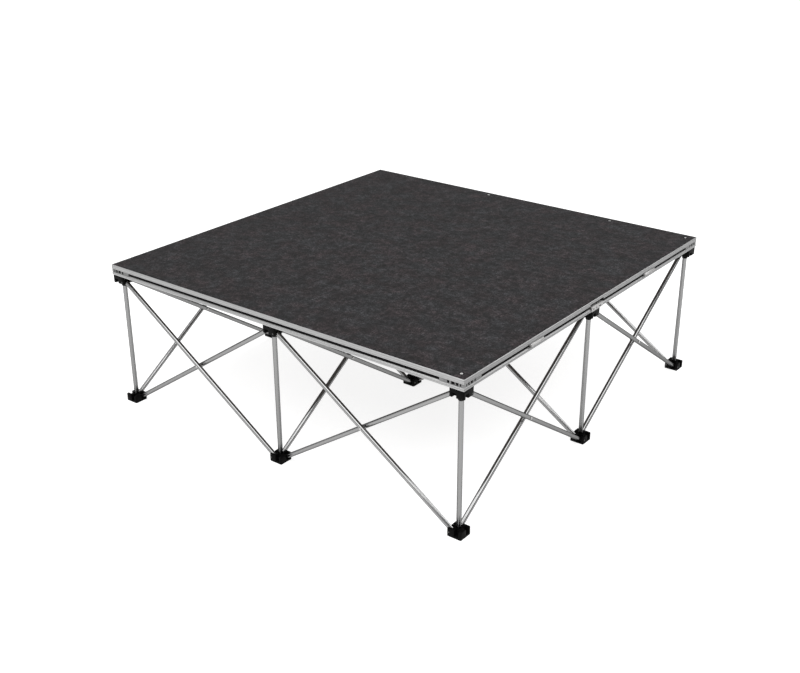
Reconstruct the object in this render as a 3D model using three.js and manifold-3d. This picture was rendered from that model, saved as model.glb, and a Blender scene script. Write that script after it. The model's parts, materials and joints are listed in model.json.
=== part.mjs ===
// Stage riser platform: a square carpeted deck on a folding scissor frame.
//
// Millimetres, +Z up. The origin is on the floor, under the middle of the centre foot.
// Front is -Y and right is +X. The frame stands on a three by three grid of nodes. Each
// node has a moulded head under the deck, a moulded foot on the floor and a post between
// them. A crossed pair of bars joins every two neighbouring nodes: each bar runs from the
// head of one node down to the foot of the other, and the two are riveted where they cross.

import * as THREE from 'three';
import { mergeVertices } from 'three/addons/utils/BufferGeometryUtils.js';
import Module from 'manifold-3d';

const wasm = await Module();
wasm.setup();

// ---------------------------------------------------------------- driving dimensions

const fitGap = 0.3; // between two pieces that rest on or in each other

// Deck
const deckSide = 1220;
const deckTop = 432;
const railHeight = 31;
const railLip = 2.7; // wall of the edge rail, seen from above beside the carpet
const railWidth = 13.4; // from the outer face to the ledge's inner edge
const railWeb = 9.7; // from the outer face to the inner side of the web
const railFloor = 2.5; // thickness of the rail's ledge and bottom flange
const railBevel = 1; // along the outer edges of its two bands
const grooveDepth = 7;
const grooveTop = 419.5;
const grooveBottom = 412.3;
const carpetThickness = 2.7;
const panelThickness = 15;

// Frame
const nodePitch = 588;
const blockSide = 42; // the moulded heads and feet are square
const blockChamfer = 3.5;
const tubeRadius = 6.35;
const pinReach = 15; // from a node's centre out to its pivot pins
const barOffset = 7; // from a node's centre line sideways to a bar's centre line
const footPinHeight = 12;
const headPinHeight = 384;
const pinRadius = 2.5;
const pinHoleRadius = 3.1;

// Feet
const footPlate = 5.2;
const footHeight = 22;

// Heads
const headLowest = 377.5;
const headPlateBottom = 390.7;
const collarBottom = 367;
const collarRadius = 8.4;
const bossSide = 16;

// Joining pieces on the right-hand edge
const tongueLength = 60;
const tongueProud = 6;
const tongueSpacing = 600;
const catchLength = 60;
const catchProud = 2.3;
const notchLength = 70; // cut in the right-hand rail's upper band, over the catch
const notchTop = grooveTop + 5;

// Facets
const tubeSides = 12;
const pinSides = 8;

// ---------------------------------------------------------------- derived dimensions

const deckHalf = deckSide / 2;
const deckBottom = deckTop - railHeight;
const headTop = deckBottom - fitGap;
const carpetBottom = deckTop - carpetThickness;
const panelTop = carpetBottom - fitGap;
const panelBottom = panelTop - panelThickness;
const bossTop = panelBottom - fitGap;
const slotNear = barOffset - tubeRadius - 0.35; // a slot's wall nearer the node's centre line
const slotFar = barOffset + tubeRadius + 0.35;
const postBottom = footPlate + fitGap;
const postTop = headPlateBottom + 5;
const socketRadius = (tubeRadius + fitGap) / Math.cos(Math.PI / tubeSides);
const barRun = nodePitch - 2 * pinReach;
const barDrop = headPinHeight - footPinHeight;
const barLength = Math.hypot(barRun, barDrop); // from pin to pin
const barTilt = Math.atan2(barDrop, barRun);

// ---------------------------------------------------------------- materials

const finishes = {
  carpet: new THREE.MeshStandardMaterial({ color: 0x3a3839, roughness: 0.95, metalness: 0 }),
  plywood: new THREE.MeshStandardMaterial({ color: 0x3f352e, roughness: 0.5, metalness: 0 }),
  anodised: new THREE.MeshStandardMaterial({ color: 0xb9babc, roughness: 0.38, metalness: 0.9 }),
  tube: new THREE.MeshStandardMaterial({ color: 0xc4c5c8, roughness: 0.3, metalness: 0.95 }),
  steel: new THREE.MeshStandardMaterial({ color: 0xc2c2c0, roughness: 0.35, metalness: 0.9 }),
  nylon: new THREE.MeshStandardMaterial({ color: 0x111113, roughness: 0.5, metalness: 0 }),
};

// ---------------------------------------------------------------- solids

// A closed three.js geometry as a solid that can be joined and cut.
function solidOf(geometry) {
  const bare = geometry.index ? geometry.clone() : geometry;
  bare.deleteAttribute('normal');
  bare.deleteAttribute('uv');
  const merged = mergeVertices(bare, 1e-4);
  return new wasm.Manifold(new wasm.Mesh({
    numProp: 3,
    vertProperties: new Float32Array(merged.attributes.position.array),
    triVerts: new Uint32Array(merged.index.array),
  }));
}

function geometryOf(solid) {
  const mesh = solid.getMesh();
  const geometry = new THREE.BufferGeometry();
  geometry.setAttribute('position', new THREE.BufferAttribute(mesh.vertProperties, 3));
  geometry.setIndex(new THREE.BufferAttribute(mesh.triVerts, 1));
  return geometry;
}

function boxBetween([x0, y0, z0], [x1, y1, z1]) {
  const geometry = new THREE.BoxGeometry(x1 - x0, y1 - y0, z1 - z0);
  geometry.translate((x0 + x1) / 2, (y0 + y1) / 2, (z0 + z1) / 2);
  return solidOf(geometry);
}

// An upright cylinder on the Z axis.
function upright(radius, z0, z1) {
  const geometry = new THREE.CylinderGeometry(radius, radius, z1 - z0, tubeSides);
  geometry.rotateX(Math.PI / 2);
  geometry.translate(0, 0, (z0 + z1) / 2);
  return solidOf(geometry);
}

// A cylinder along Y, at a given x and z.
function crossways(radius, x, z, y0, y1) {
  const geometry = new THREE.CylinderGeometry(radius, radius, y1 - y0, pinSides);
  geometry.translate(x, (y0 + y1) / 2, z);
  return solidOf(geometry);
}

function chamferedSquare(side, chamfer, z0, z1) {
  const half = side / 2;
  const shape = new THREE.Shape();
  shape.moveTo(half - chamfer, -half);
  shape.lineTo(half, -half + chamfer);
  shape.lineTo(half, half - chamfer);
  shape.lineTo(half - chamfer, half);
  shape.lineTo(-half + chamfer, half);
  shape.lineTo(-half, half - chamfer);
  shape.lineTo(-half, -half + chamfer);
  shape.lineTo(-half + chamfer, -half);
  const geometry = new THREE.ExtrudeGeometry(shape, { depth: z1 - z0, bevelEnabled: false });
  geometry.translate(0, 0, z0);
  return solidOf(geometry);
}

// ---------------------------------------------------------------- heads and feet

// A moulding is worked out with a bar leaving along +X and turned for the other three.
// A head's bars leave on their own right-hand side of the node, and a foot's on the left,
// so that every bar lies in one upright plane.
function cutSlots(block, side, z0, z1) {
  const near = [collarRadius, side * slotNear, z0];
  const far = [blockSide, side * slotFar, z1];
  const low = near.map((value, i) => Math.min(value, far[i]));
  const high = near.map((value, i) => Math.max(value, far[i]));
  let result = block;
  for (let quarter = 0; quarter < 4; quarter += 1) {
    result = result.subtract(boxBetween(low, high).rotate([0, 0, 90 * quarter]));
  }
  return result;
}

function addPins(block, side, z, quarters) {
  const wallBite = 1.2;
  const y0 = side > 0 ? slotNear - wallBite : -slotFar - wallBite;
  const y1 = side > 0 ? slotFar + wallBite : -slotNear + wallBite;
  let result = block;
  for (const quarter of quarters) {
    result = result.add(crossways(pinRadius, pinReach, z, y0, y1).rotate([0, 0, 90 * quarter]));
  }
  return result;
}

function headGeometry(quarters) {
  const side = -1;
  let block = chamferedSquare(blockSide, blockChamfer, headLowest, headTop);
  block = cutSlots(block, side, headLowest - 1, headPlateBottom);
  block = block.add(upright(collarRadius, collarBottom, headPlateBottom + 1));
  block = block.add(chamferedSquare(bossSide, 2, headTop - 1, bossTop));
  block = block.subtract(upright(socketRadius, collarBottom - 1, postTop + fitGap));
  return geometryOf(addPins(block, side, headPinHeight, quarters));
}

function footGeometry(quarters) {
  const side = 1;
  let block = chamferedSquare(blockSide, blockChamfer, 0, footHeight);
  block = cutSlots(block, side, footPlate, footHeight + 1);
  block = block.subtract(upright(socketRadius, footPlate, footHeight + 1));
  return geometryOf(addPins(block, side, footPinHeight, quarters));
}

// ---------------------------------------------------------------- scissor bars

// A bar lies along X with its middle at the origin and its head end at -X. Its ends are
// domed round the pivot pins. One bar of each pair carries the rivet to the other, which
// passes beside it at +Y.
function barGeometry(carriesRivet) {
  const half = barLength / 2;
  const bend = tubeRadius * Math.SQRT1_2;
  const profile = [
    new THREE.Vector2(0, -half - tubeRadius),
    new THREE.Vector2(bend, -half - bend),
    new THREE.Vector2(tubeRadius, -half),
    new THREE.Vector2(tubeRadius, half),
    new THREE.Vector2(bend, half + bend),
    new THREE.Vector2(0, half + tubeRadius),
  ];
  const tube = new THREE.LatheGeometry(profile, tubeSides);
  tube.rotateZ(-Math.PI / 2);
  let bar = solidOf(tube);
  const reach = tubeRadius + 1;
  for (const x of [-half, half]) {
    bar = bar.subtract(crossways(pinHoleRadius, x, 0, -reach, reach));
  }
  if (carriesRivet) {
    const headRadius = 4;
    const headThickness = 1;
    const partnerFar = 2 * barOffset + tubeRadius + fitGap;
    bar = bar.add(crossways(pinRadius, 0, 0, -tubeRadius - 0.5, partnerFar + 0.5));
    bar = bar.add(crossways(headRadius, 0, 0, partnerFar, partnerFar + headThickness));
    bar = bar.add(crossways(headRadius, 0, 0, -tubeRadius - headThickness, -tubeRadius + 0.5));
  } else {
    bar = bar.subtract(crossways(pinHoleRadius, 0, 0, -reach, reach));
  }
  return geometryOf(bar);
}

// ---------------------------------------------------------------- deck pieces

// One edge rail with mitred ends, made along X for the front edge: an outline in
// (distance in from the outer face, height), drawn out to the length that the mitre
// leaves at that distance.
function railSolid() {
  const outline = [
    [railBevel, deckBottom],
    [0, deckBottom + railBevel],
    [0, grooveBottom - railBevel],
    [railBevel, grooveBottom],
    [grooveDepth, grooveBottom],
    [grooveDepth, grooveTop],
    [0, grooveTop],
    [0, deckTop - railBevel],
    [railBevel, deckTop],
    [railLip, deckTop],
    [railLip, grooveTop + 3],
    [railWeb, grooveTop + 3],
    [railWeb, bossTop],
    [railWidth, bossTop],
    [railWidth, bossTop - railFloor],
    [railLip, bossTop - railFloor],
    [railLip, deckBottom + railFloor],
    [railWidth, deckBottom + railFloor],
    [railWidth, deckBottom],
  ];
  const shape = new THREE.Shape(outline.map(([inward, height]) => new THREE.Vector2(inward, height)));
  const geometry = new THREE.ExtrudeGeometry(shape, { depth: 1, bevelEnabled: false });
  const position = geometry.attributes.position;
  const mitreGap = fitGap * Math.SQRT1_2;
  for (let i = 0; i < position.count; i += 1) {
    const inward = position.getX(i);
    const height = position.getY(i);
    const end = position.getZ(i) > 0.5 ? 1 : -1;
    const along = end * (deckHalf - inward - mitreGap);
    position.setXYZ(i, along, inward - deckHalf, height);
  }
  return solidOf(geometry);
}

function notchedRailGeometry() {
  const low = [-notchLength / 2, -deckHalf - 1, grooveTop - 1];
  const high = [notchLength / 2, grooveDepth - deckHalf, notchTop];
  return geometryOf(railSolid().subtract(boxBetween(low, high)));
}

// Plywood with a rebated edge, whose upper layers reach out over the rail's groove.
function panelGeometry() {
  const rebate = grooveTop + 3 + fitGap;
  const coreHalf = deckHalf - railWeb - fitGap;
  const topHalf = deckHalf - railLip - fitGap;
  const core = boxBetween([-coreHalf, -coreHalf, panelBottom], [coreHalf, coreHalf, panelTop]);
  const top = boxBetween([-topHalf, -topHalf, rebate], [topHalf, topHalf, panelTop]);
  return geometryOf(core.add(top));
}

function carpetGeometry() {
  const half = deckHalf - railLip - fitGap;
  return geometryOf(boxBetween([-half, -half, carpetBottom], [half, half, deckTop]));
}

// A piece of one section along the right-hand edge, centred on y = 0. The outline is in
// (distance out from the deck's face, height).
function edgePiece(outline, length) {
  const shape = new THREE.Shape(outline.map(([out, height]) => new THREE.Vector2(deckHalf + out, height)));
  const geometry = new THREE.ExtrudeGeometry(shape, { depth: length, bevelEnabled: false });
  geometry.rotateX(Math.PI / 2);
  geometry.translate(0, length / 2, 0);
  return geometryOf(solidOf(geometry));
}

// The tongue fills the groove and stands out of it as a wedge with a blunt nose, for the
// groove of the next deck.
function tongueGeometry() {
  const top = grooveTop - fitGap;
  const bottom = grooveBottom + fitGap;
  const noseHeight = 1.6;
  return edgePiece([
    [fitGap - grooveDepth, bottom],
    [tongueProud - 1, bottom],
    [tongueProud, bottom + noseHeight],
    [1, top],
    [fitGap - grooveDepth, top],
  ], tongueLength);
}

// The catch plate hooks into the groove over the rail's lower band and leaves the upper
// part of the groove open.
function catchGeometry() {
  const bottom = deckBottom + 1.5;
  const hookTop = grooveBottom + 3.7;
  return edgePiece([
    [fitGap, bottom],
    [catchProud, bottom],
    [catchProud, hookTop - 1],
    [catchProud - 1, hookTop],
    [fitGap - grooveDepth, hookTop],
    [fitGap - grooveDepth, grooveBottom + fitGap],
    [fitGap, grooveBottom + fitGap],
  ], catchLength);
}

// ---------------------------------------------------------------- assembly

const riser = new THREE.Group();

function addPiece(parent, name, geometry, finish) {
  const piece = new THREE.Mesh(geometry, finishes[finish]);
  piece.name = name;
  parent.add(piece);
  return piece;
}

// The grid's nodes: f front, m middle, b back, then l left, m middle, r right; c is the centre.
const grid = {
  fl: [-1, -1], fm: [0, -1], fr: [1, -1],
  ml: [-1, 0], c: [0, 0], mr: [1, 0],
  bl: [-1, 1], bm: [0, 1], br: [1, 1],
};

function isNeighbour(a, b) {
  const [ax, ay] = grid[a];
  const [bx, by] = grid[b];
  return Math.abs(ax - bx) + Math.abs(ay - by) === 1;
}

// Quarter turns from +X at which a node has a neighbour, and so a slot with a pin.
function usedQuarters(node) {
  return Object.keys(grid)
    .filter((other) => isNeighbour(node, other))
    .map((other) => {
      const [x, y] = grid[node];
      const [ox, oy] = grid[other];
      return Math.round(Math.atan2(oy - y, ox - x) / (Math.PI / 2));
    });
}

function addNode(node) {
  const [column, row] = grid[node];
  const quarters = usedQuarters(node);
  const group = new THREE.Group();
  group.position.set(column * nodePitch, row * nodePitch, 0);
  addPiece(group, `head_${node}`, headGeometry(quarters), 'nylon');
  addPiece(group, `post_${node}`, geometryOf(upright(tubeRadius, postBottom, postTop)), 'tube');
  addPiece(group, `foot_${node}`, footGeometry(quarters), 'nylon');
  riser.add(group);
}

const plainBar = barGeometry(false);
const rivetedBar = barGeometry(true);

// A bar from the head of one node down to the foot of a neighbour.
function addBar(headNode, footNode, carriesRivet) {
  const [hx, hy] = grid[headNode];
  const [fx, fy] = grid[footNode];
  const heading = Math.atan2(fy - hy, fx - hx);
  const geometry = carriesRivet ? rivetedBar : plainBar;
  const bar = addPiece(riser, `bar_${headNode}_${footNode}`, geometry, 'tube');
  bar.rotation.set(0, barTilt, heading, 'ZYX');
  bar.position.set(
    ((hx + fx) / 2) * nodePitch + barOffset * Math.sin(heading),
    ((hy + fy) / 2) * nodePitch - barOffset * Math.cos(heading),
    (headPinHeight + footPinHeight) / 2,
  );
}

const deck = new THREE.Group();
riser.add(deck);
addPiece(deck, 'deck_panel', panelGeometry(), 'plywood');
addPiece(deck, 'deck_carpet', carpetGeometry(), 'carpet');
['front', 'right', 'back', 'left'].forEach((edge, quarter) => {
  const geometry = edge === 'right' ? notchedRailGeometry() : geometryOf(railSolid());
  const rail = addPiece(deck, `edge_rail_${edge}`, geometry, 'anodised');
  rail.rotation.z = quarter * (Math.PI / 2);
});
[-1, 1].forEach((side, i) => {
  const tongue = addPiece(deck, `joining_tongue_${i + 1}`, tongueGeometry(), 'steel');
  tongue.position.y = side * (tongueSpacing / 2);
});
addPiece(deck, 'catch_plate', catchGeometry(), 'steel');

Object.keys(grid).forEach(addNode);

const names = Object.keys(grid);
names.forEach((a, i) => {
  names.slice(i + 1).filter((b) => isNeighbour(a, b)).forEach((b) => {
    addBar(a, b, true);
    addBar(b, a, false);
  });
});

export default riser;
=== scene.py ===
# Stage riser platform: a carpeted deck in aluminium rails on a folding scissor frame.
# Metres, +Z up, front is -Y and right is +X, as in the CAD model.

import json
import math

import bmesh
import bpy
from mathutils import Matrix, Vector, noise


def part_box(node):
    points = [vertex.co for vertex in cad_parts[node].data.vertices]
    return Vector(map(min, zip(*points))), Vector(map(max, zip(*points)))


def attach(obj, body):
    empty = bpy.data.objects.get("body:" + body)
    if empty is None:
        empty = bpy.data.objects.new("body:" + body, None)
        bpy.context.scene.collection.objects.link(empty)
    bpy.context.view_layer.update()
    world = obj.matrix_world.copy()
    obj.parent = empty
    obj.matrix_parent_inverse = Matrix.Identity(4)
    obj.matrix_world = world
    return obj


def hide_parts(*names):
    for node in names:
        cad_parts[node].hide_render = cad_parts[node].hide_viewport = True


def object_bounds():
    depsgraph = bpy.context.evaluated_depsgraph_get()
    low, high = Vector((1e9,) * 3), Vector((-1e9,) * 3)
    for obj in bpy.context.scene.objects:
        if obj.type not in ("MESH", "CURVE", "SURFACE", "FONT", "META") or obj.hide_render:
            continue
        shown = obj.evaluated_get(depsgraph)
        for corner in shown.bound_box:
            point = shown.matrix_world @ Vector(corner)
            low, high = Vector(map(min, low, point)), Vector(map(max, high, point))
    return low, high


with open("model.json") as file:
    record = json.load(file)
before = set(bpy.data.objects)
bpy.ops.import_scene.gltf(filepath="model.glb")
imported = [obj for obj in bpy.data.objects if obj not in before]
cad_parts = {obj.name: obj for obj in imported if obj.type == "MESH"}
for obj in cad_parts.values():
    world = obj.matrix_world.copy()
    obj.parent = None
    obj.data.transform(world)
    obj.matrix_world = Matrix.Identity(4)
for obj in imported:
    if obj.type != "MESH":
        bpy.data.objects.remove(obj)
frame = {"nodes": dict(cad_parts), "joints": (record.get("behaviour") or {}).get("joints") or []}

cad_low, cad_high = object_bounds()
MM = 0.001

# ---------------------------------------------------------------- places from the frame


def middle_of(node):
    low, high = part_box(node)
    return (low + high) / 2


def joint_named(name):
    return next(joint for joint in frame["joints"] if joint["name"] == name)


GRID = {name[5:]: middle_of(name) for name in frame["nodes"] if name.startswith("foot_")}
BARS = [name.split("_")[1:] for name in frame["nodes"] if name.startswith("bar_")]

HEAD_PIN_Z = joint_named("bar_c_fm_to_centre_head")["pos_m"][2]
FOOT_PIN_Z = joint_named("fold")["pos_m"][2]
PIN_REACH = joint_named("fold")["pos_m"][0] - GRID["c"].x
BAR_LOW, BAR_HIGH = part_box("bar_mr_c")
TUBE_RADIUS = (BAR_HIGH.y - BAR_LOW.y) / 2
BAR_OFFSET = middle_of("bar_mr_c").y
BLOCK_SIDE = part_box("foot_c")[1].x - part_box("foot_c")[0].x
FOOT_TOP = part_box("foot_c")[1].z
HEAD_LOW, HEAD_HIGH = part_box("head_c")
POST_LOW, POST_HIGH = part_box("post_c")
CARPET_LOW, CARPET_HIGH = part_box("deck_carpet")
PANEL_LOW, PANEL_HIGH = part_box("deck_panel")
RAIL_LOW, RAIL_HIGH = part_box("edge_rail_front")
RAIL_WIDTH = RAIL_HIGH.y - RAIL_LOW.y
TONGUE_LOW, TONGUE_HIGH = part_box("joining_tongue_1")
CATCH_LOW, CATCH_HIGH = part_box("catch_plate")

# The same design sizes as the CAD model where its boxes don't give them, apart from a
# narrower lip round the carpet and a groove that reaches a little lower.
FIT_GAP = 0.3 * MM
DECK_HALF = -RAIL_LOW.y
DECK_TOP = RAIL_HIGH.z
DECK_BOTTOM = RAIL_LOW.z
RAIL_LIP = DECK_HALF - CARPET_HIGH.x - FIT_GAP
LIP_EDGE = 1.4 * MM
RAIL_WEB = 9.7 * MM
RAIL_FLOOR = 2.5 * MM
GROOVE_TOP = TONGUE_HIGH.z + FIT_GAP
GROOVE_BOTTOM = TONGUE_LOW.z - 1.8 * MM
GROOVE_DEPTH = DECK_HALF - TONGUE_LOW.x + FIT_GAP
BLOCK_CORNER = 3.5 * MM
FOOT_PLATE = 5.2 * MM
SOCKET_RADIUS = TUBE_RADIUS + 0.15 * MM
HEAD_TOP = DECK_BOTTOM - FIT_GAP
HEAD_PLATE = 390.7 * MM
HEAD_LOWEST = 377.5 * MM
COLLAR_RADIUS = 8.4 * MM
SLOT_NEAR = BAR_OFFSET - TUBE_RADIUS - 0.35 * MM
SLOT_FAR = BAR_OFFSET + TUBE_RADIUS + 0.35 * MM
LINE_DEPTH = 0.9 * MM
LINE_HALF = 0.4 * MM
UNDERCUT = 0.5 * MM
NOTCH_LENGTH = 70 * MM
NOTCH_TOP = GROOVE_TOP + 5 * MM

# ---------------------------------------------------------------- materials


class Shader:
    """A node material, built up by a few plain calls."""

    def __init__(self, name, roughness, metallic=0.0):
        self.material = bpy.data.materials.new(name)
        self.material.use_nodes = True
        self.tree = self.material.node_tree
        self.bsdf = self.tree.nodes["Principled BSDF"]
        self.bsdf.inputs["Metallic"].default_value = metallic
        self.bsdf.inputs["Roughness"].default_value = roughness
        self.place = self.tree.nodes.new("ShaderNodeTexCoord").outputs["Object"]

    def stretched(self, scale):
        node = self.tree.nodes.new("ShaderNodeMapping")
        node.inputs["Scale"].default_value = scale
        self.tree.links.new(self.place, node.inputs["Vector"])
        return node.outputs["Vector"]

    def noise(self, scale, detail=2.0, roughness=0.5, vector=None):
        node = self.tree.nodes.new("ShaderNodeTexNoise")
        node.inputs["Scale"].default_value = scale
        node.inputs["Detail"].default_value = detail
        node.inputs["Roughness"].default_value = roughness
        self.tree.links.new(vector or self.place, node.inputs["Vector"])
        return node.outputs["Fac"]

    def ramp(self, value, stops):
        node = self.tree.nodes.new("ShaderNodeValToRGB")
        elements = node.color_ramp.elements
        elements[0].position, elements[0].color = stops[0][0], (*stops[0][1], 1.0)
        elements[1].position, elements[1].color = stops[-1][0], (*stops[-1][1], 1.0)
        for position, color in stops[1:-1]:
            elements.new(position).color = (*color, 1.0)
        self.tree.links.new(value, node.inputs["Fac"])
        return node.outputs["Color"]

    def span(self, value, low, high):
        """The value, from 0.3 to 0.7 where noise mostly lies, spread from low to high."""
        node = self.tree.nodes.new("ShaderNodeMapRange")
        node.inputs["From Min"].default_value = 0.3
        node.inputs["From Max"].default_value = 0.7
        node.inputs["To Min"].default_value = low
        node.inputs["To Max"].default_value = high
        self.tree.links.new(value, node.inputs["Value"])
        return node.outputs["Result"]

    def mix(self, factor, first, second, blend="MIX"):
        node = self.tree.nodes.new("ShaderNodeMix")
        node.data_type = "RGBA"
        node.blend_type = blend
        inputs = {"Factor": factor, "A": first, "B": second}
        for socket in node.inputs:
            wanted = inputs.get(socket.name)
            if wanted is None or (socket.type == "VALUE") != (socket.name == "Factor"):
                continue
            if socket.type not in ("VALUE", "RGBA"):
                continue
            if isinstance(wanted, bpy.types.NodeSocket):
                self.tree.links.new(wanted, socket)
            else:
                socket.default_value = wanted if socket.type == "VALUE" else (*wanted, 1.0)
        return next(s for s in node.outputs if s.type == "RGBA")

    def color(self, value):
        self.tree.links.new(value, self.bsdf.inputs["Base Color"])

    def roughness(self, value):
        self.tree.links.new(value, self.bsdf.inputs["Roughness"])

    def bump(self, heights):
        """Bumps from (height, strength, depth in metres), coarse first."""
        normal = None
        for height, strength, distance in heights:
            node = self.tree.nodes.new("ShaderNodeBump")
            node.inputs["Strength"].default_value = strength
            node.inputs["Distance"].default_value = distance
            self.tree.links.new(height, node.inputs["Height"])
            if normal:
                self.tree.links.new(normal, node.inputs["Normal"])
            normal = node.outputs["Normal"]
        self.tree.links.new(normal, self.bsdf.inputs["Normal"])


def grey(value, warmth=0.0):
    return (value * (1 + warmth), value, value * (1 - warmth))


def extruded_metal(name, along, shade, roughness, metallic=1.0, edge=1.0):
    """Aluminium with the fine lines that a die leaves along one axis of the piece. The edge
    value darkens it where it is seen at a low angle."""
    shader = Shader(name, roughness, metallic)
    shader.bsdf.inputs["Specular Tint"].default_value = (edge, edge, edge, 1.0)
    lines = [420.0, 420.0, 420.0]
    lines["XYZ".index(along)] = 1.4
    drawn = shader.noise(1.0, detail=3.0, vector=shader.stretched(lines))
    clouds = shader.noise(9.0, detail=3.0)
    base = shader.ramp(drawn, [(0.3, grey(shade * 0.90)), (0.7, grey(shade * 1.06))])
    haze = shader.ramp(clouds, [(0.35, grey(shade * 0.94)), (0.65, grey(shade))])
    shader.color(shader.mix(0.35, base, haze))
    shader.roughness(shader.span(drawn, roughness * 0.85, roughness * 1.2))
    shader.bump([(drawn, 0.25, 0.05 * MM)])
    return shader.material


def moulded_nylon(name, shade, roughness):
    shader = Shader(name, roughness)
    shader.bsdf.inputs["Specular IOR Level"].default_value = 0.06
    grain = shader.noise(1500.0, detail=2.0)
    flow = shader.noise(60.0, detail=3.0)
    shader.color(shader.ramp(flow, [(0.3, grey(shade * 0.8)), (0.7, grey(shade * 1.3))]))
    shader.roughness(shader.span(flow, roughness * 0.85, roughness * 1.2))
    shader.bump([(flow, 0.15, 0.2 * MM), (grain, 0.3, 0.08 * MM)])
    return shader.material


def cast_metal(name, shade):
    """Tumbled die-cast metal, matt and a little cloudy."""
    shader = Shader(name, 0.45, metallic=0.6)
    clouds = shader.noise(90.0, detail=4.0)
    pits = shader.noise(1800.0, detail=2.0)
    shader.color(shader.ramp(clouds, [(0.3, grey(shade * 0.88, 0.01)), (0.7, grey(shade, 0.01))]))
    shader.roughness(shader.span(clouds, 0.38, 0.52))
    shader.bump([(pits, 0.25, 0.05 * MM)])
    return shader.material


def brushed_steel(name, shade):
    shader = Shader(name, 0.32, metallic=1.0)
    brushed = shader.noise(1.0, detail=2.0, vector=shader.stretched((900.0, 30.0, 900.0)))
    shader.color(shader.ramp(brushed, [(0.3, grey(shade * 0.88, 0.01)), (0.7, grey(shade, 0.01))]))
    shader.roughness(shader.span(brushed, 0.26, 0.42))
    shader.bump([(brushed, 0.2, 0.04 * MM)])
    return shader.material


def needle_punched_carpet():
    """Short matted fibres in dark and light tufts, some a little redder than others, with
    faint flow along the roll."""
    shader = Shader("carpet", 0.95)
    shader.bsdf.inputs["Sheen Weight"].default_value = 0.05
    shader.bsdf.inputs["Sheen Roughness"].default_value = 0.6
    shader.bsdf.inputs["Specular IOR Level"].default_value = 0.1
    fibres = shader.noise(430.0, detail=4.0, roughness=0.8)
    tufts = shader.noise(170.0, detail=3.0, roughness=0.7)
    clumps = shader.noise(55.0, detail=3.0, roughness=0.6)
    patches = shader.noise(14.0, detail=3.0, roughness=0.6)
    hue = shader.noise(22.0, detail=5.0)
    roll = shader.noise(1.0, detail=3.0, vector=shader.stretched((22.0, 75.0, 22.0)))
    speckle = shader.ramp(fibres, [(0.38, grey(0.001)), (0.5, grey(0.015)), (0.64, grey(0.115))])
    tuft_tone = shader.ramp(tufts, [(0.38, grey(0.001)), (0.5, grey(0.015)), (0.62, grey(0.072))])
    tone = shader.mix(0.5, speckle, tuft_tone)
    tint = shader.ramp(hue, [(0.38, (0.92, 0.91, 1.0)), (0.62, (1.0, 0.76, 0.82))])
    tone = shader.mix(1.0, tone, tint, "MULTIPLY")
    tone = shader.mix(1.0, tone, shader.ramp(clumps, [(0.36, grey(0.32)), (0.64, grey(1.0))]), "MULTIPLY")
    tone = shader.mix(1.0, tone, shader.ramp(patches, [(0.36, grey(0.55)), (0.64, grey(1.0))]), "MULTIPLY")
    tone = shader.mix(0.6, tone, shader.ramp(roll, [(0.3, grey(0.6)), (0.7, grey(1.0))]), "MULTIPLY")
    shader.color(tone)
    shader.bump([(clumps, 0.3, 1.0 * MM), (tufts, 0.5, 0.8 * MM), (fibres, 0.7, 0.5 * MM)])
    return shader.material


def filmed_plywood():
    """Plywood under a dark phenolic film, through which the grain just shows."""
    shader = Shader("plywood", 0.5)
    grain = shader.noise(1.0, detail=5.0, roughness=0.6, vector=shader.stretched((3.0, 60.0, 60.0)))
    figure = shader.noise(1.0, detail=2.0, vector=shader.stretched((1.2, 9.0, 9.0)))
    film = shader.ramp(grain, [(0.3, (0.066, 0.056, 0.049)), (0.7, (0.105, 0.090, 0.078))])
    shader.color(shader.mix(0.35, film, shader.ramp(figure, [
        (0.35, (0.060, 0.051, 0.045)),
        (0.65, (0.115, 0.098, 0.085)),
    ])))
    shader.roughness(shader.span(grain, 0.4, 0.6))
    shader.bump([(grain, 0.2, 0.1 * MM)])
    return shader.material


MATERIALS = {
    "rail_x": extruded_metal("rail_x", "X", 0.37, 0.36, metallic=0.85),
    # The rails along Y are given a darker shade than those along X: painted shade, standing in for the shade
    # on the right-hand side.
    "rail_y": extruded_metal("rail_y", "Y", 0.24, 0.36, metallic=0.85),
    "tube": extruded_metal("tube", "X", 0.28, 0.18, edge=0.3),
    "post": extruded_metal("post", "Z", 0.25, 0.22, edge=0.3),
    "nylon": moulded_nylon("nylon", 0.0012, 0.55),
    # This dark plastic is painted shade: it lines the groove, backs the insert slots and rings the deck
    # screws where shade falls.
    "dark_plastic": moulded_nylon("dark_plastic", 0.003, 0.7),
    "cast": cast_metal("cast", 0.38),
    "zinc": cast_metal("zinc", 0.75),
    "grey_plastic": moulded_nylon("grey_plastic", 0.17, 0.5),
    "steel": brushed_steel("steel", 0.42),
    "pin_steel": brushed_steel("pin_steel", 0.08),
    "carpet": needle_punched_carpet(),
    "plywood": filmed_plywood(),
}

# ---------------------------------------------------------------- mesh tools


def finished_mesh(name, bm, sharp_degrees=32):
    """The mesh with smooth shading, and edges sharper than the limit left crisp."""
    bmesh.ops.recalc_face_normals(bm, faces=bm.faces)
    limit = math.radians(sharp_degrees)
    for face in bm.faces:
        face.smooth = True
    for edge in bm.edges:
        edge.smooth = len(edge.link_faces) == 2 and edge.calc_face_angle(0.0) < limit
    mesh = bpy.data.meshes.new(name)
    bm.to_mesh(mesh)
    bm.free()
    return mesh


def add_piece(name, mesh, body, material, stands_for=(), matrix=None):
    piece = bpy.data.objects.new(name, mesh)
    bpy.context.scene.collection.objects.link(piece)
    mesh.materials.append(MATERIALS[material])
    if matrix is not None:
        piece.matrix_world = matrix
    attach(piece, body)
    if stands_for:
        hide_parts(*stands_for)
    return piece


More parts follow.
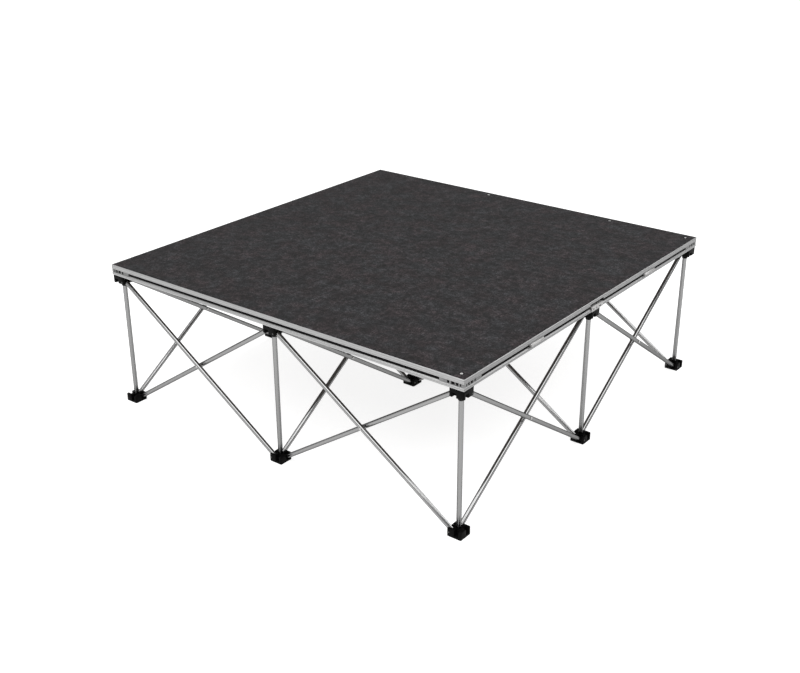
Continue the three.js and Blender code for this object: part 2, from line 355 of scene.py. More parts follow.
def skin(bm, rings):
    """Joins rings of points, all of one length, into a closed surface."""
    rows = [[bm.verts.new(point) for point in ring] for ring in rings]
    count = len(rows[0])
    for lower, upper in zip(rows, rows[1:]):
        for i in range(count):
            j = (i + 1) % count
            bm.faces.new((lower[i], lower[j], upper[j], upper[i]))
    bm.faces.new(list(reversed(rows[0])))
    bm.faces.new(rows[-1])


def lathed(profile, segments=32, centre=(0.0, 0.0)):
    """A body turned about a vertical axis, from (radius, height) points that start and
    end on the axis or close on themselves."""
    bm = bmesh.new()
    closed = profile[0][0] > 0
    points = profile + [profile[0]] if closed else profile
    rows = []
    for radius, height in points:
        ring = []
        for i in range(segments):
            angle = math.tau * i / segments
            ring.append(bm.verts.new((
                centre[0] + radius * math.cos(angle),
                centre[1] + radius * math.sin(angle),
                height,
            )))
        rows.append(ring)
    for lower, upper in zip(rows, rows[1:]):
        for i in range(segments):
            j = (i + 1) % segments
            bm.faces.new((lower[i], lower[j], upper[j], upper[i]))
    bmesh.ops.remove_doubles(bm, verts=bm.verts, dist=0.001 * MM)
    return bm


def lathe_into(bm, profile, centre, segments=24):
    part = lathed(profile, segments=segments, centre=centre)
    append_mesh(bm, part)


def append_mesh(bm, part):
    mesh = bpy.data.meshes.new("part")
    part.to_mesh(mesh)
    part.free()
    bm.from_mesh(mesh)
    bpy.data.meshes.remove(mesh)


def rounded_square(side, radius, steps=4):
    """Corner-rounded square outline about the origin, anticlockwise."""
    reach = side / 2 - radius
    points = []
    for quarter, (x, y) in enumerate([(1, 1), (-1, 1), (-1, -1), (1, -1)]):
        for step in range(steps + 1):
            angle = (quarter + step / steps) * math.pi / 2
            points.append((x * reach + radius * math.cos(angle), y * reach + radius * math.sin(angle)))
    return points


def square_loft(levels):
    """A block through rounded squares, from (side, corner radius, height) levels."""
    bm = bmesh.new()
    skin(bm, [[(x, y, height) for x, y in rounded_square(side, radius)] for side, radius, height in levels])
    return bm


def block(low, high):
    bm = bmesh.new()
    bmesh.ops.create_cube(bm, size=1.0)
    size = [b - a for a, b in zip(low, high)]
    centre = [(a + b) / 2 for a, b in zip(low, high)]
    bmesh.ops.scale(bm, vec=size, verts=bm.verts)
    bmesh.ops.translate(bm, vec=centre, verts=bm.verts)
    return bm


def turned(bm, quarter):
    turn = Matrix.Rotation(quarter * math.pi / 2, 3, "Z")
    bmesh.ops.rotate(bm, cent=(0, 0, 0), matrix=turn, verts=bm.verts)
    return bm


def temporary_object(bm):
    bmesh.ops.recalc_face_normals(bm, faces=bm.faces)
    mesh = bpy.data.meshes.new("temporary")
    bm.to_mesh(mesh)
    bm.free()
    item = bpy.data.objects.new("temporary", mesh)
    bpy.context.scene.collection.objects.link(item)
    return item


def carved(base, steps, bevel=0.0):
    """The base solid with each (operation, solid) joined or cut in turn and its edges
    softened, as a bmesh."""
    item = temporary_object(base)
    tools = []
    for operation, solid in steps:
        tool = temporary_object(solid)
        tools.append(tool)
        modifier = item.modifiers.new("boolean", "BOOLEAN")
        modifier.operation = operation
        modifier.solver = "EXACT"
        modifier.object = tool
    if bevel:
        modifier = item.modifiers.new("bevel", "BEVEL")
        modifier.width = bevel
        modifier.segments = 2
        modifier.limit_method = "ANGLE"
        modifier.angle_limit = math.radians(35)
    bpy.context.view_layer.update()
    evaluated = item.evaluated_get(bpy.context.evaluated_depsgraph_get())
    result = bmesh.new()
    result.from_mesh(evaluated.to_mesh())
    evaluated.to_mesh_clear()
    for spent in [item, *tools]:
        mesh = spent.data
        bpy.data.objects.remove(spent)
        bpy.data.meshes.remove(mesh)
    return result


# ---------------------------------------------------------------- heads, feet and posts


def slot_cutters(side, z0, z1):
    """The four bar slots of a moulding, pinwheel fashion."""
    near = side * SLOT_NEAR
    far = side * SLOT_FAR
    low = (COLLAR_RADIUS, min(near, far), z0)
    high = (BLOCK_SIDE, max(near, far), z1)
    return [("DIFFERENCE", turned(block(low, high), quarter)) for quarter in range(4)]


def head_mesh():
    """The moulded head: a plate with four slots, a collar for the post and a square boss."""
    lobe = 3.2 * MM
    levels = []
    for degrees in (0, 22.5, 45, 67.5, 90):
        angle = math.radians(degrees)
        side = BLOCK_SIDE - 2 * lobe * (1 - math.sin(angle))
        levels.append((side, BLOCK_CORNER, HEAD_LOWEST + lobe * (1 - math.cos(angle))))
    levels += [
        (BLOCK_SIDE, BLOCK_CORNER, HEAD_TOP - 0.8 * MM),
        (BLOCK_SIDE - 1.6 * MM, BLOCK_CORNER - 0.5 * MM, HEAD_TOP),
    ]
    collar = lathed([
        (SOCKET_RADIUS, HEAD_LOW.z),
        (COLLAR_RADIUS - 1.0 * MM, HEAD_LOW.z),
        (COLLAR_RADIUS - 0.2 * MM, HEAD_LOW.z + 1.2 * MM),
        (COLLAR_RADIUS - 0.05 * MM, HEAD_PLATE - 3 * MM),
        (COLLAR_RADIUS - 0.05 * MM, HEAD_PLATE + 2 * MM),
        (SOCKET_RADIUS, HEAD_PLATE + 2 * MM),
    ])
    boss_side = 16 * MM
    boss = square_loft([
        (boss_side, 2 * MM, HEAD_TOP - 2 * MM),
        (boss_side - 0.3 * MM, 2 * MM, HEAD_HIGH.z - 1 * MM),
        (boss_side - 2 * MM, 1.5 * MM, HEAD_HIGH.z),
    ])
    bore = lathed([
        (0, HEAD_LOW.z - MM),
        (SOCKET_RADIUS, HEAD_LOW.z - MM),
        (SOCKET_RADIUS, HEAD_PLATE + MM),
        (0, HEAD_PLATE + MM),
    ])
    steps = slot_cutters(-1, HEAD_LOW.z - MM, HEAD_PLATE)
    steps += [("DIFFERENCE", bore), ("UNION", collar), ("UNION", boss)]
    return finished_mesh("head", carved(square_loft(levels), steps, bevel=0.45 * MM))


def foot_mesh():
    """The moulded foot: four slots, a socket for the post and a ring groove underneath."""
    levels = [
        (BLOCK_SIDE - 1.4 * MM, BLOCK_CORNER - 0.7 * MM, 0.0),
        (BLOCK_SIDE, BLOCK_CORNER, 0.7 * MM),
        (BLOCK_SIDE, BLOCK_CORNER, FOOT_TOP - 1.2 * MM),
        (BLOCK_SIDE - 0.8 * MM, BLOCK_CORNER - 0.4 * MM, FOOT_TOP - 0.35 * MM),
        (BLOCK_SIDE - 2.4 * MM, BLOCK_CORNER - 1.1 * MM, FOOT_TOP),
    ]
    bore = lathed([
        (0, FOOT_PLATE),
        (SOCKET_RADIUS, FOOT_PLATE),
        (SOCKET_RADIUS, FOOT_TOP + MM),
        (0, FOOT_TOP + MM),
    ])
    mouth = lathed([
        (0, FOOT_TOP - 1.5 * MM),
        (SOCKET_RADIUS, FOOT_TOP - 1.5 * MM),
        (SOCKET_RADIUS + 1.2 * MM, FOOT_TOP + 0.1 * MM),
        (0, FOOT_TOP + 0.1 * MM),
    ])
    grip = lathed([
        (10 * MM, -MM),
        (14 * MM, -MM),
        (14 * MM, 0.6 * MM),
        (10 * MM, 0.6 * MM),
    ])
    steps = slot_cutters(1, FOOT_PLATE, FOOT_TOP + MM)
    steps += [("DIFFERENCE", bore), ("DIFFERENCE", mouth), ("DIFFERENCE", grip)]
    return finished_mesh("foot", carved(square_loft(levels), steps, bevel=0.45 * MM))


def direction_between(a, b):
    step = GRID[b] - GRID[a]
    return Vector((step.x, step.y, 0.0)).normalized()


def neighbours(node):
    return [b for a, b in BARS if a == node]


def pin_ends_mesh(name, node, side, height):
    """The headed ends of the pins, on both outer walls of each slot in use."""
    bm = bmesh.new()
    radius = 2.3 * MM
    face = BLOCK_SIDE / 2
    for other in neighbours(node):
        along = direction_between(node, other)
        across = Vector((-along.y, along.x, 0.0)) * side
        centre = GRID[node] + along * PIN_REACH + across * face
        centre.z = height
        rings = []
        for scale, out in ((1.0, -1.2), (1.0, 0.25), (0.82, 0.5), (0.4, 0.62)):
            ring = []
            for i in range(16):
                angle = math.tau * i / 16
                offset = along * math.cos(angle) + Vector((0, 0, 1)) * math.sin(angle)
                ring.append(centre + offset * radius * scale + across * out * MM)
            rings.append(ring)
        skin(bm, rings)
    return finished_mesh(name, bm)


def post_mesh():
    """A thin-walled tube from the foot's socket up into the head."""
    wall = 1.2 * MM
    profile = [
        (TUBE_RADIUS - wall, POST_LOW.z + 0.3 * MM),
        (TUBE_RADIUS - 0.3 * MM, POST_LOW.z),
        (TUBE_RADIUS, POST_LOW.z + 0.5 * MM),
        (TUBE_RADIUS, POST_HIGH.z - 0.5 * MM),
        (TUBE_RADIUS - wall, POST_HIGH.z),
    ]
    return finished_mesh("post", lathed(profile, segments=40))


def copy_at(mesh, name):
    copy = mesh.copy()
    copy.name = name
    return copy


def body_of_head(node):
    return "centre_head" if node == "c" else f"head_{node}"


def add_nodes():
    head = head_mesh()
    foot = foot_mesh()
    post = post_mesh()
    for node, place in GRID.items():
        matrix = Matrix.Translation((place.x, place.y, 0.0))
        above = body_of_head(node)
        below = f"foot_{node}"
        add_piece(f"moulded_head_{node}", copy_at(head, f"moulded_head_{node}"),
                  above, "nylon", [f"head_{node}"], matrix)
        add_piece(f"moulded_foot_{node}", copy_at(foot, f"moulded_foot_{node}"),
                  below, "nylon", [f"foot_{node}"], matrix)
        add_piece(f"post_tube_{node}", copy_at(post, f"post_tube_{node}"),
                  above, "post", [f"post_{node}"], matrix)
        add_piece(f"head_pins_{node}", pin_ends_mesh(f"head_pins_{node}", node, -1, HEAD_PIN_Z),
                  above, "pin_steel")
        add_piece(f"foot_pins_{node}", pin_ends_mesh(f"foot_pins_{node}", node, 1, FOOT_PIN_Z),
                  below, "pin_steel")


# ---------------------------------------------------------------- scissor bars


def bar_mesh(length):
    """A tube along X whose ends are milled round about their pins (which lie along Y) and
    closed by plugs set just inside."""
    bm = bmesh.new()
    segments = 32
    half = length / 2

    def ring(end, scale, inset):
        points = []
        for i in range(segments):
            angle = math.tau * i / segments
            y = scale * TUBE_RADIUS * math.cos(angle)
            z = scale * TUBE_RADIUS * math.sin(angle)
            reach = half + math.sqrt(max(TUBE_RADIUS ** 2 - z ** 2, 0.0)) - inset
            points.append((end * reach, y, z))
        return points

    def end_rings(end):
        return [
            ring(end, 0.25, 0.9 * MM),
            ring(end, 0.78, 0.9 * MM),
            ring(end, 0.80, 0.1 * MM),
            ring(end, 0.93, 0.05 * MM),
            ring(end, 1.0, 0.6 * MM),
        ]

    skin(bm, end_rings(-1) + list(reversed(end_rings(1))))
    return finished_mesh("bar", bm)


def rivet_mesh(name):
    """The rivet through both tubes of a pair, with a washer between them. It lies along Y,
    with its own bar at the origin and the other bar at +Y."""
    partner = 2 * BAR_OFFSET
    outer = TUBE_RADIUS + 0.9 * MM
    head = 4.0 * MM
    shaft = 2.4 * MM
    washer = 4.6 * MM
    profile = [
        (0.0, -outer - 0.9 * MM),
        (head * 0.55, -outer - 0.75 * MM),
        (head * 0.9, -outer - 0.3 * MM),
        (head, -outer + 0.35 * MM),
        (shaft, -outer + 0.4 * MM),
        (shaft, TUBE_RADIUS + 0.25 * MM),
        (washer, TUBE_RADIUS + 0.25 * MM),
        (washer, partner - TUBE_RADIUS - 0.25 * MM),
        (shaft, partner - TUBE_RADIUS - 0.25 * MM),
        (shaft, partner + outer - 0.4 * MM),
        (head, partner + outer - 0.35 * MM),
        (head * 0.9, partner + outer + 0.3 * MM),
        (head * 0.55, partner + outer + 0.75 * MM),
        (0.0, partner + outer + 0.9 * MM),
    ]
    bm = lathed(profile, segments=20)
    bmesh.ops.rotate(bm, cent=(0, 0, 0), matrix=Matrix.Rotation(-math.pi / 2, 3, "X"), verts=bm.verts)
    return finished_mesh(name, bm)


def bar_matrix(head_node, foot_node):
    """Where a bar lies: X runs down it from head to foot, and Y points to its partner."""
    along = direction_between(head_node, foot_node)
    aside = Vector((along.y, -along.x, 0.0))
    top = GRID[head_node] + along * PIN_REACH + aside * BAR_OFFSET
    bottom = GRID[foot_node] - along * PIN_REACH + aside * BAR_OFFSET
    top.z = HEAD_PIN_Z
    bottom.z = FOOT_PIN_Z
    x_axis = (bottom - top).normalized()
    y_axis = -aside
    z_axis = x_axis.cross(y_axis)
    matrix = Matrix((x_axis, y_axis, z_axis)).transposed().to_4x4()
    matrix.translation = (top + bottom) / 2
    return matrix, (bottom - top).length


def carries_rivet(head_node, foot_node):
    """The CAD model gives the rivet to one bar of a pair, whose box is the wider one."""
    low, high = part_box(f"bar_{head_node}_{foot_node}")
    return min(high.x - low.x, high.y - low.y) > 3 * TUBE_RADIUS


def add_bars():
    length = bar_matrix("c", "mr")[1]
    tube = bar_mesh(length)
    for head_node, foot_node in BARS:
        name = f"bar_{head_node}_{foot_node}"
        matrix = bar_matrix(head_node, foot_node)[0]
        piece = f"scissor_{name}"
        add_piece(piece, copy_at(tube, piece), name, "tube", [name], matrix)
        if carries_rivet(head_node, foot_node):
            rivet = f"rivet_{head_node}_{foot_node}"
            add_piece(rivet, rivet_mesh(rivet), name, "steel", matrix=matrix)


# ---------------------------------------------------------------- deck


def arc(centre, radius, start, end, steps=3):
    """Points round part of a circle, angles in degrees."""
    points = []
    for step in range(steps + 1):
        angle = math.radians(start + (end - start) * step / steps)
        points.append((centre[0] + radius * math.cos(angle), centre[1] + radius * math.sin(angle)))
    return points


def scored_line(height):
    """A shallow line along the rail's face, as outline points from below it to above it."""
    return [(0.0, height - LINE_HALF), (LINE_DEPTH, height), (0.0, height + LINE_HALF)]


def rail_outline():
    """The rail's section as (distance in from the outer face, height). Its edges are eased,
    fine lines run along both bands, and the lower band falls back towards its foot."""
    edge = 1.2 * MM
    shoulder = 2.2 * MM
    ledge = HEAD_HIGH.z
    outline = []
    outline += arc((UNDERCUT + edge, DECK_BOTTOM + edge), edge, 270, 190)
    outline += [(0.0, GROOVE_BOTTOM - 7.5 * MM)]
    outline += scored_line(GROOVE_BOTTOM - 4.6 * MM)
    outline += [(0.0, GROOVE_BOTTOM - shoulder), (shoulder, GROOVE_BOTTOM)]
    outline += [(GROOVE_DEPTH, GROOVE_BOTTOM), (GROOVE_DEPTH, GROOVE_TOP)]
    outline += arc((edge / 2, GROOVE_TOP + edge / 2), edge / 2, 270, 180, steps=2)
    outline += scored_line(GROOVE_TOP + 3.2 * MM)
    outline += scored_line(DECK_TOP - 4.0 * MM)
    outline += [
        (0.0, DECK_TOP - edge),
        (edge, DECK_TOP),
        (LIP_EDGE, DECK_TOP - 0.2 * MM),
        (LIP_EDGE, CARPET_LOW.z - 0.2 * MM),
        (RAIL_LIP, CARPET_LOW.z - 0.2 * MM),
        (RAIL_LIP, GROOVE_TOP + 3 * MM),
        (RAIL_WEB, GROOVE_TOP + 3 * MM),
        (RAIL_WEB, ledge),
        (RAIL_WIDTH, ledge),
        (RAIL_WIDTH, ledge - RAIL_FLOOR),
        (RAIL_LIP, ledge - RAIL_FLOOR),
        (RAIL_LIP, DECK_BOTTOM + RAIL_FLOOR),
        (RAIL_WIDTH, DECK_BOTTOM + RAIL_FLOOR),
        (RAIL_WIDTH, DECK_BOTTOM),
    ]
    return outline


def rail_solid():
    """The front rail, mitred at both ends."""
    bm = bmesh.new()
    mitre_gap = 0.12 * MM
    ends = []
    for end in (-1, 1):
        ends.append([(end * (DECK_HALF - inward - mitre_gap), inward - DECK_HALF, height)
                     for inward, height in rail_outline()])
    skin(bm, ends)
    return bm


def add_rails():
    for quarter, edge in enumerate(["front", "right", "back", "left"]):
        bm = rail_solid()
        if edge == "right":
            notch = block(
                (-NOTCH_LENGTH / 2, -DECK_HALF - MM, GROOVE_TOP - MM),
                (NOTCH_LENGTH / 2, GROOVE_DEPTH - DECK_HALF, NOTCH_TOP),
            )
            bm = carved(bm, [("DIFFERENCE", notch)])
        turned(bm, quarter)
        # Rails along Y take the darker copy of the metal, a painted shade.
        material = "rail_y" if quarter % 2 else "rail_x"
        add_piece(f"rail_{edge}", finished_mesh(f"rail_{edge}", bm), "deck", material,
                  [f"edge_rail_{edge}"])


def groove_shade_strip(edge, quarter, stretches):
    """A dark strip along the bottom of the groove, in one or more stretches: painted shade, standing in for
    the shade inside the groove.
    """
    bm = bmesh.new()
    back = DECK_HALF - GROOVE_DEPTH + 0.1 * MM
    front = back + 4.4 * MM
    low = GROOVE_BOTTOM + 0.15 * MM
    high = GROOVE_TOP - 0.15 * MM
    crown = 0.5 * MM
    section = [
        (back, low),
        (front - crown, low),
        (front, (low + high) / 2),
        (front - crown, high),
        (back, high),
    ]
    for start, end in stretches:
        skin(bm, [[(x, -out, height) for out, height in section] for x in (start, end)])
    turned(bm, quarter)
    name = f"groove_shade_strip_{edge}"
    add_piece(name, finished_mesh(name, bm), "deck", "dark_plastic")


INSERT_LEG = 70 * MM


# Painted shade in the groove, broken round the tongues and the catch on the right-hand edge.
def add_groove_shade_strips():
    end = DECK_HALF - INSERT_LEG - MM
    tongue_near = TONGUE_HIGH.y + 0.5 * MM
    tongue_far = TONGUE_LOW.y - 0.5 * MM
    catch = CATCH_HIGH.y + 0.5 * MM
    broken = [(-end, tongue_far), (tongue_near, -catch), (catch, -tongue_near), (-tongue_far, end)]
    for quarter, edge in enumerate(["front", "right", "back", "left"]):
        groove_shade_strip(edge, quarter, broken if edge == "right" else [(-end, end)])


def add_corner_inserts():
    """An angle piece in the groove at each corner, with a row of small slots in each leg,
    given below as (distance from the corner, width) in millimetres."""
    face = DECK_HALF - 0.35 * MM
    back = DECK_HALF - GROOVE_DEPTH + FIT_GAP
    end = DECK_HALF - INSERT_LEG
    low = GROOVE_BOTTOM + 0.1 * MM
    high = GROOVE_TOP - 0.1 * MM
    bend = 1.2 * MM
    outline = [(end, -face)]
    outline += arc((face - bend, bend - face), bend, 270, 360)
    outline += [(face, -end), (back, -end), (back, -back), (end, -back)]
    slots = [(11, 4.5), (20, 8.0), (32, 11.0), (45, 7.0)]
    for quarter, corner in enumerate(["front_right", "back_right", "back_left", "front_left"]):
        bm = bmesh.new()
        skin(bm, [[(x, y, height) for x, y in outline] for height in (low, high)])
        cuts = []
        for distance, width in slots:
            near = DECK_HALF - (distance + width / 2) * MM
            far = DECK_HALF - (distance - width / 2) * MM
            mouth = face + MM
            floor = face - 2.5 * MM
            z0 = low + 0.3 * MM
            z1 = high - 0.3 * MM
            cuts.append(("DIFFERENCE", block((near, -mouth, z0), (far, -floor, z1))))
            cuts.append(("DIFFERENCE", block((floor, -far, z0), (mouth, -near, z1))))
        bm = turned(carved(bm, cuts, bevel=0.25 * MM), quarter)
        name = f"corner_insert_{corner}"
        add_piece(name, finished_mesh(name, bm), "deck", "grey_plastic")
        # Dark plates behind the slots: painted shade, standing in for the shade inside the slots.
        slot_shade = bmesh.new()
        for distance, width in slots:
            near = DECK_HALF - (distance + width / 2 - 0.3) * MM
            far = DECK_HALF - (distance - width / 2 + 0.3) * MM
            for swap in (False, True):
                a = (near, -(floor + 0.35 * MM), low + 0.5 * MM)
                b = (far, -(floor - 0.2 * MM), high - 0.5 * MM)
                if swap:
                    a, b = (-a[1], -a[0], a[2]), (-b[1], -b[0], b[2])
                plate = block([min(p, q) for p, q in zip(a, b)], [max(p, q) for p, q in zip(a, b)])
                append_mesh(slot_shade, plate)
        turned(slot_shade, quarter)
        name = f"insert_slot_shade_{corner}"
        add_piece(name, finished_mesh(name, slot_shade), "deck", "dark_plastic")


CARPET_SET_IN = 0.45 * MM


def add_carpet():
    """The carpet: a felted top a little uneven in height, rolled over at its edges."""
    half = DECK_HALF - LIP_EDGE - FIT_GAP
    roll = 2.2 * MM
    cells = 150
    inner = half - roll
    spacing = [inner * (2 * i / cells - 1) for i in range(cells + 1)]
    edge = [(roll * math.sin(math.radians(a)), roll * (1 - math.cos(math.radians(a)))) for a in (30, 60, 90)]
    places = [(-inner - out, drop) for out, drop in reversed(edge)]
    places += [(x, 0.0) for x in spacing]
    places += [(inner + out, drop) for out, drop in edge]
    bm = bmesh.new()
    rows = []
    for x, drop_x in places:
        row = []
        for y, drop_y in places:
            lump = noise.noise(Vector((x, y, 0.0)) * 60) * 0.16 * MM
            lump += noise.noise(Vector((x, y, 3.0)) * 9) * 0.12 * MM
            fall = min(drop_x + drop_y, roll)
            row.append(bm.verts.new((x, y, CARPET_HIGH.z - CARPET_SET_IN + lump - fall)))
        rows.append(row)
    last = len(places) - 1
    for i in range(last):
        for j in range(last):
            bm.faces.new((rows[i][j], rows[i + 1][j], rows[i + 1][j + 1], rows[i][j + 1]))
    rim = [rows[i][0] for i in range(last)] + [rows[last][j] for j in range(last)]
    rim += [rows[i][last] for i in range(last, 0, -1)] + [rows[0][j] for j in range(last, 0, -1)]
    foot = [bm.verts.new((vertex.co.x, vertex.co.y, CARPET_LOW.z)) for vertex in rim]
    for i in range(len(rim)):
        j = (i + 1) % len(rim)
        bm.faces.new((rim[i], rim[j], foot[j], foot[i]))
    bm.faces.new(foot)
    add_piece("carpet", finished_mesh("carpet", bm, sharp_degrees=60),
              "deck", "carpet", ["deck_carpet"])


def add_panel():
    """The plywood panel, with the rebate that lets it reach over the rail's groove."""
    core = DECK_HALF - RAIL_WEB - FIT_GAP
    top = PANEL_HIGH.x
    rebate = GROOVE_TOP + 3 * MM + FIT_GAP
    soft = 0.5 * MM
    levels = [
        (2 * (core - soft), 2 * MM, PANEL_LOW.z),
        (2 * core, 2 * MM, PANEL_LOW.z + soft),
        (2 * core, 2 * MM, rebate),
        (2 * top, 2 * MM, rebate),
        (2 * top, 2 * MM, PANEL_HIGH.z),
    ]
    add_piece("plywood_panel", finished_mesh("plywood_panel", square_loft(levels)),
              "deck", "plywood", ["deck_panel"])


def screw_mesh(name, places, radius):
    """Countersunk screws with a cross recess, heads up at the given places."""
    bm = bmesh.new()
    for place in places:
        x, y, z = place
        head = lathed([
            (0, z - 2.2 * MM),
            (radius * 0.45, z - 2.2 * MM),
            (radius, z - 0.25 * MM),
            (radius * 0.96, z),
            (0, z + 0.05 * MM),
        ], segments=24, centre=(x, y))
        arm = radius * 0.62
        thin = radius * 0.14
        cuts = [
            ("DIFFERENCE", block((x - arm, y - thin, z - 0.9 * MM), (x + arm, y + thin, z + MM))),
            ("DIFFERENCE", block((x - thin, y - arm, z - 0.9 * MM), (x + thin, y + arm, z + MM))),
        ]
        append_mesh(bm, carved(head, cuts))
    return finished_mesh(name, bm)


def add_deck_screws():
    """Screws through the carpet near the corners of one side and along the back edge, each in a dark cup
    washer whose dark colour is painted shade for the hollow round the screw head."""
    inset = 25 * MM
    corner = DECK_HALF - inset
    spots = [(corner, -corner), (corner, corner)]
    spots += [(x * MM, DECK_HALF - 20 * MM) for x in (-128, 327)]
    radius = 3.6 * MM
    rim = CARPET_HIGH.z - 0.05 * MM
    bed = CARPET_HIGH.z - CARPET_SET_IN
    places = [(x, y, CARPET_HIGH.z - 0.15 * MM) for x, y in spots]
    add_piece("deck_screws", screw_mesh("deck_screws", places, radius), "deck", "zinc")
    # The washers' dark ring is painted shade for the hollow round each screw.
    shade_washers = bmesh.new()
    for spot in spots:
        lathe_into(shade_washers, [
            (radius + 0.15 * MM, bed - 1.2 * MM),
            (radius + 2.6 * MM, bed - 1.2 * MM),
            (radius + 2.6 * MM, bed),
            (radius + 1.6 * MM, rim),
            (radius + 0.9 * MM, rim),
            (radius + 0.15 * MM, bed),
        ], spot)
    add_piece("cup_washers", finished_mesh("cup_washers", shade_washers), "deck", "dark_plastic")


def edge_strip(outline, y0, y1, bevel):
    bm = bmesh.new()
    skin(bm, [[(x, y, height) for x, height in outline] for y in (y0, y1)])
    return carved(bm, [], bevel=bevel)


def add_tongues():
    """The wedge-nosed tongues that stand out of the right-hand edge's groove."""
    out = TONGUE_HIGH.x - DECK_HALF
    for number in (1, 2):
        low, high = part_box(f"joining_tongue_{number}")
        outline = [
            (low.x, low.z),
            (high.x - 1.2 * MM, low.z),
            (high.x, low.z + 1.4 * MM),
            (DECK_HALF + out * 0.2, high.z),
            (low.x, high.z),
        ]
        name = f"tongue_{number}"
        bm = edge_strip(outline, low.y, high.y, 0.5 * MM)
        add_piece(name, finished_mesh(name, bm), "deck", "cast", [f"joining_tongue_{number}"])


def add_catch():
    """The catch plate in the middle of the right-hand edge, with a finger slot and two
    screws in its face."""
    low, high = CATCH_LOW, CATCH_HIGH
    face = DECK_HALF + FIT_GAP
    outline = [
        (face, low.z),
        (high.x, low.z),
        (high.x, high.z - 1.2 * MM),
        (high.x - 1.2 * MM, high.z),
        (low.x, high.z),
        (low.x, GROOVE_BOTTOM + FIT_GAP),
        (face, GROOVE_BOTTOM + FIT_GAP),
    ]
    bm = bmesh.new()
    skin(bm, [[(x, y, height) for x, height in outline] for y in (low.y, high.y)])
    slot = block((face - MM, 8 * MM, low.z + 3.5 * MM), (high.x + MM, 20 * MM, low.z + 7 * MM))
    bm = carved(bm, [("DIFFERENCE", slot)], bevel=0.4 * MM)
    add_piece("catch", finished_mesh("catch", bm), "deck", "cast", ["catch_plate"])
    radius = 2.4 * MM
    screws = bmesh.new()
    for y in (-20 * MM, -4 * MM):
        centre = Vector((high.x, y, low.z + 5.2 * MM))
        rings = []
        for scale, out in ((1.0, -0.6), (1.0, 0.15), (0.85, 0.5), (0.35, 0.62)):
            ring = []
            for i in range(20):
                angle = math.tau * i / 20
                across = radius * scale * math.cos(angle)
                up = radius * scale * math.sin(angle)
                ring.append(centre + Vector((out * MM, across, up)))
            rings.append(ring)
        skin(screws, rings)
    add_piece("catch_screws", finished_mesh("catch_screws", screws), "deck", "pin_steel")


# ---------------------------------------------------------------- studio

CAMERA_PLACE = Vector((1.9130, -2.5159, 1.5754))
CAMERA_AZIMUTH = math.radians(37.93)
CAMERA_ELEVATION = math.radians(24.19)
CAMERA_ROLL = math.radians(-0.24)
CAMERA_LENS = 51.59
SENSOR_WIDTH = 36.0


def add_camera():
    data = bpy.data.cameras.new("camera")
    data.lens = CAMERA_LENS
    data.sensor_width = SENSOR_WIDTH
    data.clip_end = 200.0
    camera = bpy.data.objects.new("camera", data)
    bpy.context.scene.collection.objects.link(camera)
    backwards = Vector((
        math.sin(CAMERA_AZIMUTH) * math.cos(CAMERA_ELEVATION),
        -math.cos(CAMERA_AZIMUTH) * math.cos(CAMERA_ELEVATION),
        math.sin(CAMERA_ELEVATION),
    ))
    level = (-backwards).to_track_quat("-Z", "Y").to_matrix()
    turn = level @ Matrix.Rotation(CAMERA_ROLL, 3, "Z")
    camera.matrix_world = Matrix.Translation(CAMERA_PLACE) @ turn.to_4x4()
    bpy.context.scene.camera = camera


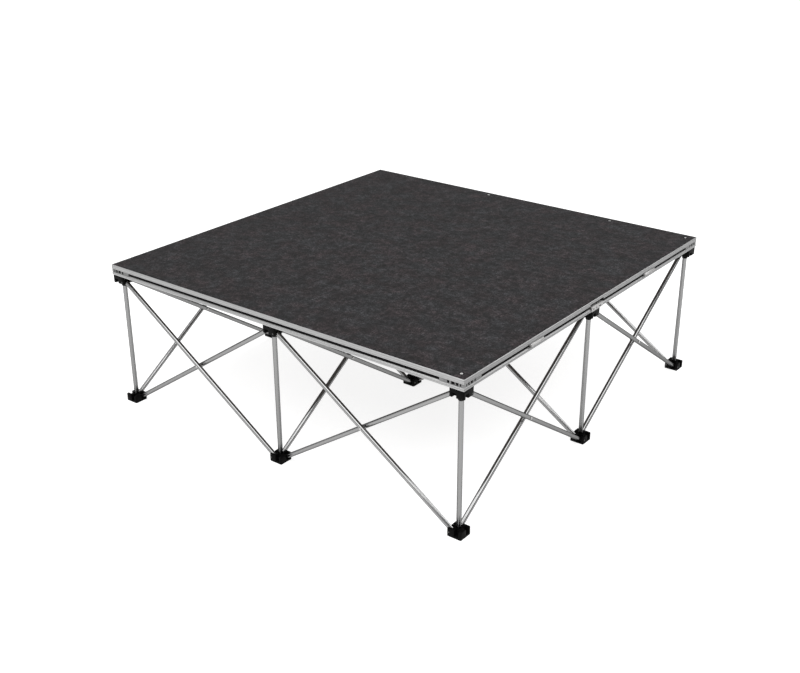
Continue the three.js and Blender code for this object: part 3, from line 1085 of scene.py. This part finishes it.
def add_floor():
    """A wide pale floor that glows a little, more so away from the platform. It can't be
    seen from below, so that the underside can be looked at."""
    half = 40.0
    mesh = bpy.data.meshes.new("floor")
    corners = [(-half, -half, 0), (half, -half, 0), (half, half, 0), (-half, half, 0)]
    mesh.from_pydata(corners, [], [(0, 1, 2, 3)])
    floor = bpy.data.objects.new("floor", mesh)
    floor.location.z = -0.2 * MM
    bpy.context.scene.collection.objects.link(floor)
    shader = Shader("floor", 0.9)
    shader.bsdf.inputs["Base Color"].default_value = (0.42, 0.42, 0.42, 1.0)
    shader.bsdf.inputs["Specular IOR Level"].default_value = 0.0
    shader.bsdf.inputs["Emission Color"].default_value = (1.0, 1.0, 1.0, 1.0)
    nodes = shader.tree.nodes
    links = shader.tree.links
    distance = nodes.new("ShaderNodeVectorMath")
    distance.operation = "LENGTH"
    links.new(shader.place, distance.inputs[0])
    glow = nodes.new("ShaderNodeMapRange")
    glow.inputs["From Min"].default_value = 0.9
    glow.inputs["From Max"].default_value = 3.5
    glow.inputs["To Min"].default_value = 0.82
    glow.inputs["To Max"].default_value = 0.98
    links.new(distance.outputs["Value"], glow.inputs["Value"])
    links.new(glow.outputs["Result"], shader.bsdf.inputs["Emission Strength"])
    one_sided = nodes.new("ShaderNodeMixShader")
    links.new(nodes.new("ShaderNodeNewGeometry").outputs["Backfacing"], one_sided.inputs["Fac"])
    links.new(shader.bsdf.outputs["BSDF"], one_sided.inputs[1])
    links.new(nodes.new("ShaderNodeBsdfTransparent").outputs["BSDF"], one_sided.inputs[2])
    links.new(one_sided.outputs["Shader"], nodes["Material Output"].inputs["Surface"])
    mesh.materials.append(shader.material)


def add_area_light(name, place, target, size, power):
    data = bpy.data.lights.new(name, "AREA")
    data.shape = "SQUARE"
    data.size = size
    data.energy = power
    light = bpy.data.objects.new(name, data)
    aim = (Vector(target) - Vector(place)).to_track_quat("-Z", "Y")
    light.matrix_world = Matrix.Translation(place) @ aim.to_matrix().to_4x4()
    bpy.context.scene.collection.objects.link(light)


def add_lights():
    """A dim grey room, brighter to the front left, with a wide soft panel over the front
    right and a smaller one over the back right."""
    world = bpy.data.worlds.new("studio")
    bpy.context.scene.world = world
    world.use_nodes = True
    nodes = world.node_tree.nodes
    links = world.node_tree.links
    towards_left = nodes.new("ShaderNodeVectorMath")
    towards_left.operation = "DOT_PRODUCT"
    towards_left.inputs[1].default_value = Vector((-0.5, -0.6, 0.6)).normalized()
    links.new(nodes.new("ShaderNodeTexCoord").outputs["Generated"], towards_left.inputs[0])
    strength = nodes.new("ShaderNodeMapRange")
    strength.inputs["From Min"].default_value = -0.3
    strength.inputs["To Min"].default_value = 0.1
    strength.inputs["To Max"].default_value = 0.9
    links.new(towards_left.outputs["Value"], strength.inputs["Value"])
    links.new(strength.outputs["Result"], nodes["Background"].inputs["Strength"])
    nodes["Background"].inputs["Color"].default_value = (1.0, 1.0, 1.0, 1.0)
    centre = (cad_low + cad_high) / 2
    panel = centre + Vector((1.2, -1.6, 3.2))
    add_area_light("panel", panel, panel - Vector((0.0, 0.0, 1.0)), 5.0, 222.0)
    add_area_light("back", centre + Vector((2.5, 3.1, 2.8)), centre, 2.4, 62.0)


# ---------------------------------------------------------------- build

bpy.context.scene.view_settings.view_transform = "Standard"
add_camera()
add_floor()
add_lights()
add_nodes()
add_bars()
add_rails()
add_groove_shade_strips()
add_corner_inserts()
add_carpet()
add_panel()
add_deck_screws()
add_tongues()
add_catch()
